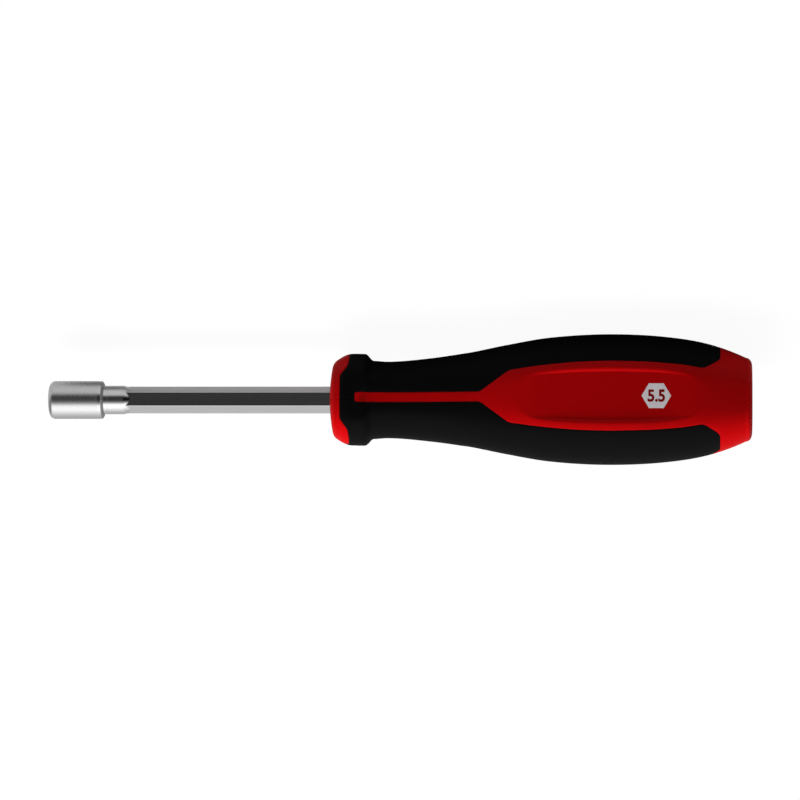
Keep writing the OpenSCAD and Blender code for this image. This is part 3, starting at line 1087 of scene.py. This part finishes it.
@dataclass(frozen=True)
class Handle:
    """The two-colour handle: one grid over the whole form, shared out between hard shell and grip.

    Columns follow the edges of the windows, and rows follow the grip's front edge and the lobes'
    tips, so the two pieces meet in the same points. Both roll down into the seam between them.
    """

    form: HandleForm
    core_start: float
    core_end: float
    hole_af: float = 6.39
    hole_round: float = 0.35
    hole_lead: float = 1.2
    core_d: float = 12.0
    flange_d: float = 17.0
    flange_t: float = 3.0
    flange_step: float = 11.0
    flanges: int = 3
    seam_depth: float = 0.10
    seam_w: float = 0.25
    rim_round: float = 0.9
    rim_wear: float = 0.4
    # Shares of the seam's width, the pocket's floor, its wall and the ledge beside it that have columns.
    seam_lines: tuple[float, ...] = (0, 0.2, 0.48, 1.0)
    floor_lines: tuple[float, ...] = (0, 0.3, 0.6, 0.85, 0.94, 0.97, 0.985)
    wall_lines: tuple[float, ...] = (0, 0.06, 0.12, 0.2, 0.3, 0.42, 0.56, 0.76, 1)
    ledge_lines: tuple[float, ...] = (0.35, 0.7)
    # Shares of the radius at which the butt's flat end has rows.
    end_lines: tuple[float, ...] = (0.97, 0.8, 0.6, 0.4, 0.2, 0)
    # Numbers of columns over a lobe, and of rows over the stretches from the hole to the butt.
    lobe_lines: int = 23
    lip_lines: int = 7
    dome_lines: int = 12
    rim_lines: int = 10
    nose_lines: int = 10
    collar_lines: int = 12
    tail_lines: int = 14
    arc_lines: int = 10
    # Distance from a seam that stands for any larger one.
    far: float = 10.0

    def near(self) -> Array:
        """Distances from a seam at which the grid has lines."""
        return np.array(self.seam_lines) * self.seam_w

    def from_edge(self, count: int) -> Array:
        """Distance of each of a strip's columns from its nearer edge, with the inner columns taken as far."""
        near = self.near()
        return np.concatenate([near, np.full(count - 2 * len(near), self.far), near[::-1]])

    def columns(self, s: Array) -> tuple[Array, Array, Array]:
        """Angles of one third of the grid, from the panel's middle.

        The window's columns crowd at the pocket's wall and at the window's edge, and the lobe's at
        its two edges. The window's last column and the lobe's first one share an angle.

        Args:
            s: Place of each row.

        Returns:
            Angles, rows by columns, which columns are the window's, and each column's distance from the edge.
        """
        form, s = self.form, np.clip(s, self.form.stripe, self.form.grip_end)[:, None]
        edge = form.angle_at(s, form.window(s))
        gap = self.near()[None, :] / form.radius(s, edge)
        inner, outer = form.angle_at(s, form.pocket_foot(s)), form.angle_at(s, form.pocket_top(s))
        last = gap[:, -1:]
        side = np.concatenate([
            inner * np.array(self.floor_lines),
            mix(inner, outer, np.array(self.wall_lines)),
            mix(outer, edge - last, np.array(self.ledge_lines)),
            edge - gap[:, ::-1],
        ], axis=1)
        window = np.concatenate([-side[:, :0:-1], side], axis=1)
        lobe = np.concatenate([
            edge + gap,
            mix(edge + last, THIRD - edge - last, np.linspace(0, 1, self.lobe_lines)[1:-1]),
            THIRD - edge - gap[:, ::-1],
        ], axis=1)
        away = np.concatenate([self.from_edge(window.shape[1]), self.from_edge(lobe.shape[1])])
        is_window = np.arange(len(away)) < window.shape[1]
        return np.concatenate([window, lobe], axis=1), is_window, away

    def stations(self) -> Array:
        """Places of the rows behind the front end of the stripe, closest where the form turns."""
        form, near = self.form, self.near()
        # Start, end and spacing of each stretch of rows.
        stretches = (
            (form.stripe + 0.4, form.foot + 0.6, 0.16),
            (form.foot + 0.8, form.flare - 1.8, 0.75),
            (form.flare - 1.4, form.panel + 2, 0.2),
            (form.panel + 2.5, form.throat - 2, 0.7),
            (form.throat - 1.6, form.grip_end - 0.4, 0.2),
        )
        rows = [np.arange(*stretch) for stretch in stretches]
        return np.concatenate([form.stripe + near, *rows, form.grip_end - near[::-1]])

    def build(self) -> None:
        """Makes the hard shell and the grip, and dresses them."""
        form, near = self.form, self.near()
        body, tail_gap = self.stations(), 0.6
        behind = np.linspace(form.grip_end + tail_gap, form.edge, self.tail_lines)
        tail = np.concatenate([form.grip_end + near, behind])
        start_angle, is_window, away = self.columns(np.array([form.stripe]))
        turn, is_window, away = (np.tile(v, len(PANELS)) for v in (start_angle[0], is_window, away))
        grip_start = form.grip_start(turn)[None, :]

        # Rows in front of the grip, over its collar, along the lobes, and behind them.
        over_nose = np.linspace(0, 1, self.nose_lines)[:, None]
        over_collar = np.linspace(0, 1, self.collar_lines)[1:-1, None]
        nose_rows = np.concatenate([
            mix(form.rim + self.rim_round, grip_start - near[-1], over_nose),
            grip_start - near[-2::-1, None],
        ])
        collar_rows = np.concatenate([
            grip_start + near[:, None],
            mix(grip_start + near[-1], form.stripe - near[-1], over_collar),
            form.stripe - np.repeat(near[::-1, None], len(turn), axis=1),
        ])
        straight = np.repeat(np.concatenate([body, tail])[:, None], len(turn), axis=1)
        s = np.concatenate([nose_rows, collar_rows, straight])
        zones = np.repeat(list(Zone), [len(nose_rows), len(collar_rows), len(body), len(tail)])
        row_place = np.where(zones < Zone.LOBES, form.stripe, s[:, 0])
        angle = np.tile(self.columns(row_place)[0], len(PANELS))
        facing = np.repeat(np.array(PANELS), len(turn) // len(PANELS))
        psi = angle + facing

        # Distance of each grid point from the seam, and how far it rolls down there.
        zone, window = zones[:, None], is_window[None, :]
        to_grip = np.abs(s - grip_start)
        to_stripe, to_tip = np.abs(s - form.stripe), np.abs(s - form.grip_end)
        apart = np.select(
            [zone == Zone.NOSE, zone == Zone.COLLAR, zone == Zone.LOBES],
            [
                to_grip,
                np.minimum(to_grip, np.where(window, to_stripe, np.hypot(away, to_stripe))),
                np.minimum(away[None, :], np.where(window, to_stripe, to_tip)),
            ],
            np.where(window, np.hypot(away, to_tip), to_tip),
        )
        roll = np.clip(1 - apart / self.seam_w, 0, 1) ** 2
        r = form.radius(s, angle) - self.seam_depth * roll
        dropped = form.pocket_drop(s, np.where(window, angle, 0.0))
        drop = np.where(window & (zone >= Zone.LOBES), dropped, 0.0)
        towards = np.stack([np.zeros_like(facing), np.sin(facing), np.cos(facing)], axis=-1)
        outer = place(s, r, psi) - drop[..., None] * towards * MM
        under = place(s, form.lobe(s) - form.grip_t, psi)

        sunk = (zone == Zone.COLLAR) | ((zone == Zone.LOBES) & ~window)
        self.build_shell(psi, outer, np.where(sunk[..., None], under, outer), roll)
        self.build_grip(zones, is_window, outer, under, roll)

    def build_shell(self, psi: Array, outer: Array, grid: Array, roll: Array) -> None:
        """Makes the hard shell: cavity, hole, domed nose, the grid sunk under the grip, and the butt.

        Args:
            psi: Angles of the grid's points.
            outer: Points on the outer form.
            grid: The same points, sunk where they are under the grip.
            roll: Share of the seam's depth at each point.
        """
        form, first, last = self.form, psi[0][None, :], psi[-1][None, :]
        flange, core = self.flange_d / 2, self.core_d / 2
        cavity = [(self.core_end, 0.0)]
        for i in range(self.flanges):
            back = self.core_end - i * self.flange_step
            front = back - self.flange_t
            cavity += [(back, core if i else flange), (back, flange), (front, flange), (front, core)]
        cavity = np.array([*cavity, (self.core_start, core)])
        inside = place(cavity[:, :1], cavity[:, 1:], first)

        hole = hexagon(first, self.hole_af / 2)
        bend = np.radians(np.linspace(0, 90, self.lip_lines))[:, None]
        lip_r = hole + self.hole_round * (1 - np.cos(bend))
        lip_s = form.nose + lip_r**2 / 2 / form.dome_r + self.hole_round * (1 - np.sin(bend))
        throat_s = np.array([[self.core_start], [form.nose + self.hole_lead]])
        throat = place(throat_s, np.repeat(hole, 2, axis=0), first)
        lip = place(lip_s, lip_r, first)

        rim_r = form.radius(np.full_like(first, form.rim), first - PANELS[0])
        over_dome = np.linspace(0, 1, self.dome_lines)[1:, None]
        dome_r = mix(hole + self.hole_round, rim_r - self.rim_round, over_dome)
        dome = place(form.nose + dome_r**2 / 2 / form.dome_r, dome_r, first)
        bow = np.linspace(0, 1, self.rim_lines)[1:-1, None, None]
        corner = place(np.full_like(rim_r, form.rim), rim_r, first)
        rim = (1 - bow) ** 2 * dome[-1:] + 2 * bow * (1 - bow) * corner + bow**2 * outer[:1]

        arc = np.radians(np.linspace(0, 90, self.arc_lines)[1:, None])
        lobe = form.butt_d / 2 - form.butt_round * (1 - np.cos(arc))
        edge_s = form.edge + (form.butt - form.edge) * np.sin(arc)
        at_edge = np.full_like(arc, form.edge)
        edge_r = form.section(last - PANELS[0], lobe, form.flat(at_edge), form.crisp(at_edge))
        edge = place(edge_s, edge_r, last)
        end_r = edge_r[-1:] * np.array(self.end_lines)[:, None]
        end = place(np.full_like(end_r, form.butt), end_r, last)

        lead = np.concatenate([inside, throat, lip, dome, rim])
        points = np.concatenate([lead, grid, edge, end])
        seam, wear = np.zeros(points.shape[:2]), np.zeros(points.shape[:2])
        start, stop = len(lead), len(lead) + len(grid)
        # The roll into the seam also darkens the red there, as painted shade.
        seam[start:stop] = roll
        wear[start - len(rim):start] = self.rim_wear * np.sin(math.pi * bow[..., 0])
        wear[stop:stop + len(edge)] = self.rim_wear * np.sin(2 * arc)
        fields = {"seam": seam, "wear": wear}
        piece = make_mesh("hard_shell", points, weave(points, closed=False), fields, PLASTIC_SHARP)
        fit_out(piece, RED, Node.SHELL)

    def build_grip(self, zones: Array, is_window: Array, outer: Array, under: Array, roll: Array) -> None:
        """Makes the grip: the grid's black cells outside and inside, joined by walls along their border.

        Args:
            zones: Zone of each row.
            is_window: Which columns are a window's.
            outer: Points on the outer form.
            under: Points under the grip.
            roll: Share of the seam's depth at each point.
        """
        rows, cols = outer.shape[:2]
        front, back = zones[:-1], zones[1:]
        collar = (front == Zone.COLLAR) & (back == Zone.COLLAR)
        lobes = (front >= Zone.COLLAR) & (back == Zone.LOBES)
        lobe_cell = ~is_window & ~np.roll(is_window, -1)
        black = collar[:, None] | (lobes[:, None] & lobe_cell[None, :])

        a, b, c, d = cells(rows, cols)
        inner = rows * cols
        outside = np.stack([a, b, c, d], axis=-1)[black]
        inside = np.stack([d, c, b, a], axis=-1)[black] + inner
        none = np.zeros((1, cols), bool)
        borders = (
            (a, b, np.concatenate([none, black[:-1]])),
            (b, c, np.roll(black, -1, axis=1)),
            (c, d, np.concatenate([black[1:], none])),
            (d, a, np.roll(black, 1, axis=1)),
        )
        walls = [
            np.stack([q, p, p + inner, q + inner], axis=-1)[black & ~beyond] for p, q, beyond in borders
        ]
        quads = np.concatenate([outside, inside, *walls])
        fields = {"seam": np.stack([roll, np.zeros_like(roll)])}
        piece = make_mesh("grip_sleeve_soft", np.stack([outer, under]), quads, fields, PLASTIC_SHARP)
        fit_out(piece, GRIP, Node.GRIP)


@dataclass(frozen=True)
class SizeBadge:
    """The printed size on the panel that faces the camera: a pale hexagon with the number in it.

    Lengths are in millimetres, apart from those of the typeface, which are shares of its size.
    """

    form: HandleForm
    text: str = "5.5"
    centre_at: float = 88.06
    across_flats: float = 6.6
    stretch: float = 1.03
    text_h: float = 3.3
    text_w: float = 4.6
    text_bold: float = 0.03
    text_thick: float = 0.01
    text_steps: int = 6
    film: float = 0.03
    number_lift: float = 0.02
    # Shares of the radius that have rows, over the top and back underneath, and their heights in films.
    ring_lines: tuple[float, ...] = (0, 0.25, 0.5, 0.75, 0.97, 1, 1, 0.5, 0)
    ring_lifts: tuple[float, ...] = (1, 1, 1, 1, 1, 0.6, -0.6, -0.6, -0.6)
    turn_step: float = 5.0

    def on_floor(self, along: Array, across: Array, lift: Array) -> Array:
        """Points over the pocket's floor.

        Args:
            along: Distances from the badge's middle along the tool.
            across: Distances across it, towards larger angles.
            lift: Heights over the floor.

        Returns:
            Points in the frame, in metres.
        """
        form, panel = self.form, PANELS[-1]
        s = form.nose + self.centre_at + along
        a = form.angle_at(s, across)
        height = form.radius(s, a) * np.cos(a) - form.pocket_drop(s, a) + lift
        out = np.array([0, math.sin(panel), math.cos(panel)])
        side = np.array([0, math.cos(panel), -math.sin(panel)])
        tool = np.array([-1.0, 0, 0])
        return (s[..., None] * tool + height[..., None] * out + across[..., None] * side) * MM

    def build(self) -> None:
        """Makes the hexagon and its number, and dresses them."""
        turn = np.radians(np.arange(0, 360, self.turn_step))[None, :]
        rim = self.across_flats / 2 / np.cos(folded(turn + SIXTH / 2, SIXTH))
        r = np.array(self.ring_lines)[:, None] * rim
        lift = np.broadcast_to(np.array(self.ring_lifts)[:, None] * self.film, r.shape)
        points = self.on_floor(self.stretch * r * np.cos(turn), r * np.sin(turn), lift)
        badge = make_mesh("size_badge", points, weave(points, closed=False), {}, PLASTIC_SHARP)
        fit_out(badge, INK, None)
        fit_out(self.number(), NUMBER, None)

    def number(self) -> bpy.types.Object:
        """The number as a thin raised mesh, fitted to its height and width and laid on the badge."""
        font = bpy.data.curves.new("size_number_text", "FONT")
        font.body, font.resolution_u = self.text, self.text_steps
        font.extrude, font.offset = self.text_thick, self.text_bold
        text = add_object("size_number_text", font)
        shaped = text.evaluated_get(bpy.context.evaluated_depsgraph_get())
        mesh = bpy.data.meshes.new_from_object(shaped)
        bpy.data.objects.remove(text)
        flat = np.zeros(len(mesh.vertices) * 3)
        mesh.vertices.foreach_get("co", flat)
        x, y, z = flat.reshape(-1, 3).T
        along = (x - (x.min() + x.max()) / 2) / np.ptp(x) * self.text_w
        up = (y - (y.min() + y.max()) / 2) / np.ptp(y) * self.text_h
        lift = self.film + self.number_lift * (z - z.min()) / np.ptp(z)
        mesh.vertices.foreach_set("co", self.on_floor(along, -up, lift).astype(np.float32).ravel())
        mesh.update()
        mesh.name = "size_number"
        return add_object("size_number", mesh)


@dataclass(frozen=True)
class InnerParts:
    """The hidden solids, which keep their CAD shape."""

    nodes: tuple[Node, ...] = (Node.PLUG, Node.CORE)

    def build(self) -> None:
        """Dresses the core and the plug."""
        for node in self.nodes:
            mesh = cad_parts[node.value].data
            mesh.materials.clear()
            mesh.materials.append(CORE.material())
            LOG.info("node %s in %s", node.value, CORE.name)


@dataclass(frozen=True)
class Studio:
    """Camera, light and floor.

    The camera looks down at one panel and is turned upside down, so that the light comes from the
    bottom of the picture. The room is a soft ceiling that steel mirrors as a bright band, greys behind
    it, and dark where the camera stands. A large soft light hangs over the tool. Lengths are in metres.
    """

    middle: Vector
    floor_z: float
    azimuth: float = -4.9
    elevation: float = 34.4
    distance: float = 1.11
    lens: float = 185.0
    sensor: float = 36.0
    shift: float = 0.00125
    clip: tuple[float, float] = (0.01, 20.0)
    # Degrees round the tool's axis from the front horizon, and the grey of the room there.
    sky: Curve = (
        (-180, 0.45), (-5, 0.30), (0, 0.21), (12, 0.034), (36, 0.036), (50, 0.17),
        (62, 0.70), (72, 1.25), (100, 1.30), (115, 0.98), (145, 0.58), (180, 0.42),
    )
    room_level: float = 0.66
    room_side: float = 0.18
    room_fade: tuple[float, float] = (0.3, 0.6)
    mirror_level: float = 1.24
    mirror_side: float = 0.22
    mirror_fade: tuple[float, float] = (0.5, 0.8)
    butt_dark: float = 0.06
    butt_fade: tuple[float, float] = (0.35, 0.6)
    key_radiance: float = 10.8
    key_size: tuple[float, float] = (0.9, 0.7)
    key_at: tuple[float, float, float] = (0.32, 0.44, 1.04)
    floor_side: float = 4.0
    floor_rough: float = 0.9
    floor_colour: float = 0.50
    # Grey of the floor in reflections, darker than in bounce light: painted shade.
    floor_mirror_shade: float = 0.31
    floor_white: float = 0.85
    # Share of white in the floor's reflections close to the tool's axis and far from it, the distances across
    # over which it rises, and the place along X and distances over which it fades out away from the blade. It
    # stays low close to the tool: painted shade.
    shaded_mirror_white: tuple[float, float] = (0.045, 0.165)
    shaded_mirror_at: tuple[float, float] = (0.012, 0.030)
    blade_at: float = -0.035
    blade_fade: tuple[float, float] = (0.054, 0.036)
    floor_plain: float = 0.95

    def camera(self) -> None:
        """Makes the camera: its back vector from its angles, its right vector along the tool to the butt."""
        a, e = math.radians(self.azimuth), math.radians(self.elevation)
        back = Vector((math.sin(a) * math.cos(e), -math.cos(a) * math.cos(e), math.sin(e)))
        butt_way = Vector((-1, 0, 0))
        right = (butt_way - back * butt_way.dot(back)).normalized()
        up = back.cross(right)
        data = bpy.data.cameras.new("photo_camera")
        data.lens, data.sensor_width, data.shift_x = self.lens, self.sensor, self.shift
        data.clip_start, data.clip_end = self.clip
        camera = add_object("photo_camera", data)
        turned = Matrix((right, up, back)).transposed()
        camera.matrix_world = Matrix.Translation(self.middle + back * self.distance) @ turned.to_4x4()
        bpy.context.scene.camera = camera

    def key(self) -> None:
        """Makes the overhead soft light, of power radiance times pi times area. Steel doesn't mirror it."""
        data = bpy.data.lights.new("overhead_light", "AREA")
        data.shape = "RECTANGLE"
        data.size, data.size_y = self.key_size
        data.energy = self.key_radiance * math.pi * data.size * data.size_y
        light = add_object("overhead_light", data)
        light.location = self.middle + Vector(self.key_at)
        light.visible_glossy = False
        light.rotation_euler = (-Vector(self.key_at)).to_track_quat("-Z", "Y").to_euler()

    def world(self) -> None:
        """Makes the room: greys by the angle over the tool, one grey at its ends, and white for the camera.

        The angle runs round the tool's axis, from the front horizon over the zenith to the back.
        Steel mirrors a somewhat brighter ceiling, and a dark corner beyond the butt.
        """
        world = bpy.data.worlds.new("room")
        bpy.context.scene.world = world
        world.use_nodes = True
        board = Board(world.node_tree)
        axes = board.add("ShaderNodeSeparateXYZ", {0: (board.coords, "Generated")})
        ahead, aback = (axes, "X"), board.calc("MULTIPLY", (axes, "X"), -1.0)
        turn = board.calc("ARCTAN2", (axes, "Z"), board.calc("MULTIPLY", (axes, "Y"), -1.0))
        share = board.calc("MULTIPLY_ADD", turn, 0.5 / math.pi, 0.5)
        ramp = board.add("ShaderNodeValToRGB", {"Fac": share})
        elements = ramp.color_ramp.elements
        for i, (angle, level) in enumerate(self.sky):
            at = angle / 360 + 0.5
            element = elements[i] if i < 2 else elements.new(at)
            element.position, element.color = at, (*grey(level), 1)
        sky = (ramp, "Color")
        ends = board.fade(board.calc("ABSOLUTE", ahead), *self.room_fade)
        room = board.calc("MULTIPLY", board.lerp(sky, self.room_side, ends), self.room_level)
        sided = board.lerp(sky, self.mirror_side, board.fade(ahead, *self.mirror_fade))
        corner = board.calc("MULTIPLY", board.fade(aback, *self.butt_fade), self.butt_dark)
        mirrored = board.calc("MAXIMUM", board.calc("SUBTRACT", sided, corner), 0.0)
        path = board.add("ShaderNodeLightPath")
        lit = board.lerp(room, board.calc("MULTIPLY", mirrored, self.mirror_level), (path, "Is Glossy Ray"))
        seen = board.lerp(lit, 1.0, (path, "Is Camera Ray"))
        light = board.add("ShaderNodeBackground", {"Strength": seen})
        board.add("ShaderNodeOutputWorld", {"Surface": (light, "Background")})

    def floor(self) -> None:
        """Makes the floor: white to the camera, grey in reflections, and partly plain to take the shadow.

        In reflections it is a darker grey than in bounce light, and it pales only near the blade, the more
        the further it is across from the tool's axis; close to the tool it stays dark: painted shade.
        """
        mesh = bpy.data.meshes.new("studio_floor")
        corners = self.floor_side * np.array([(-1, -1, 0), (1, -1, 0), (1, 1, 0), (-1, 1, 0)])
        points = corners + np.array([self.middle.x, 0, self.floor_z])
        mesh.from_pydata(points.tolist(), [], [(0, 1, 2, 3)])
        floor = add_object("studio_floor", mesh)
        bench = Bench("pale floor")
        path = bench.add("ShaderNodeLightPath")
        camera, glossy = (path, "Is Camera Ray"), (path, "Is Glossy Ray")
        # Painted shade: reflections see a darker grey than bounce light does.
        mirrored = bench.blend(grey(self.floor_colour), grey(self.floor_mirror_shade), glossy)
        bench.feed(bench.shader, {
            "Base Color": bench.blend(mirrored, grey(self.floor_white), camera),
            "Roughness": self.floor_rough,
            "Specular IOR Level": 0.0,
        })
        axes = bench.add("ShaderNodeSeparateXYZ", {0: (bench.coords, "Object")})
        # Painted shade in reflections: the white share is low close to the tool and none away from the blade.
        away = bench.fade(bench.calc("ABSOLUTE", (axes, "Y")), *self.shaded_mirror_at)
        along = bench.calc("ABSOLUTE", bench.calc("SUBTRACT", (axes, "X"), self.blade_at))
        shade_ramp = bench.lerp(*self.shaded_mirror_white, away)
        pale = bench.calc("MULTIPLY", shade_ramp, bench.fade(along, *self.blade_fade))
        shine = bench.calc("MAXIMUM", glossy, (path, "Is Transmission Ray"))
        seen = bench.calc("MULTIPLY", camera, self.floor_plain)
        share = bench.calc("MAXIMUM", seen, bench.calc("MULTIPLY", shine, pale))
        white = bench.add("ShaderNodeEmission", {"Strength": 1.0})
        values = {0: share, 1: (bench.shader, "BSDF"), 2: (white, "Emission")}
        both = bench.add("ShaderNodeMixShader", values)
        bench.feed(bench.output, {"Surface": (both, "Shader")})
        mesh.materials.append(bench.material)

    def build(self) -> None:
        """Makes the whole stage."""
        self.camera()
        self.key()
        self.world()
        self.floor()
        bpy.context.scene.view_settings.view_transform = "Standard"
        LOG.info("stage ready")


def reach(node: Node) -> tuple[float, float]:
    """Nearest and furthest place of a CAD node along the tool, in millimetres from the mouth."""
    low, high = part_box(node.value)
    return -high.x / MM, -low.x / MM


def main() -> None:
    """Builds the stage and the pieces in order."""
    logging.basicConfig(level=logging.INFO, format="%(name)s: %(message)s")
    low, high = CAD_BOX
    Studio(Vector(((low.x + high.x) / 2, 0, 0)), low.z).build()
    mouth, socket_end = reach(Node.SOCKET)
    socket_low, socket_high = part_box(Node.SOCKET.value)
    Blade((socket_high.z - socket_low.z) / MM, socket_end - mouth, reach(Node.SHAFT)[1]).build()
    core_start, core_end = reach(Node.CORE)
    form = HandleForm(core_start - NOSE_WALL, reach(Node.SHELL)[1])
    Handle(form, core_start, core_end).build()
    SizeBadge(form).build()
    InnerParts().build()


if __name__ == "__main__":
    main()
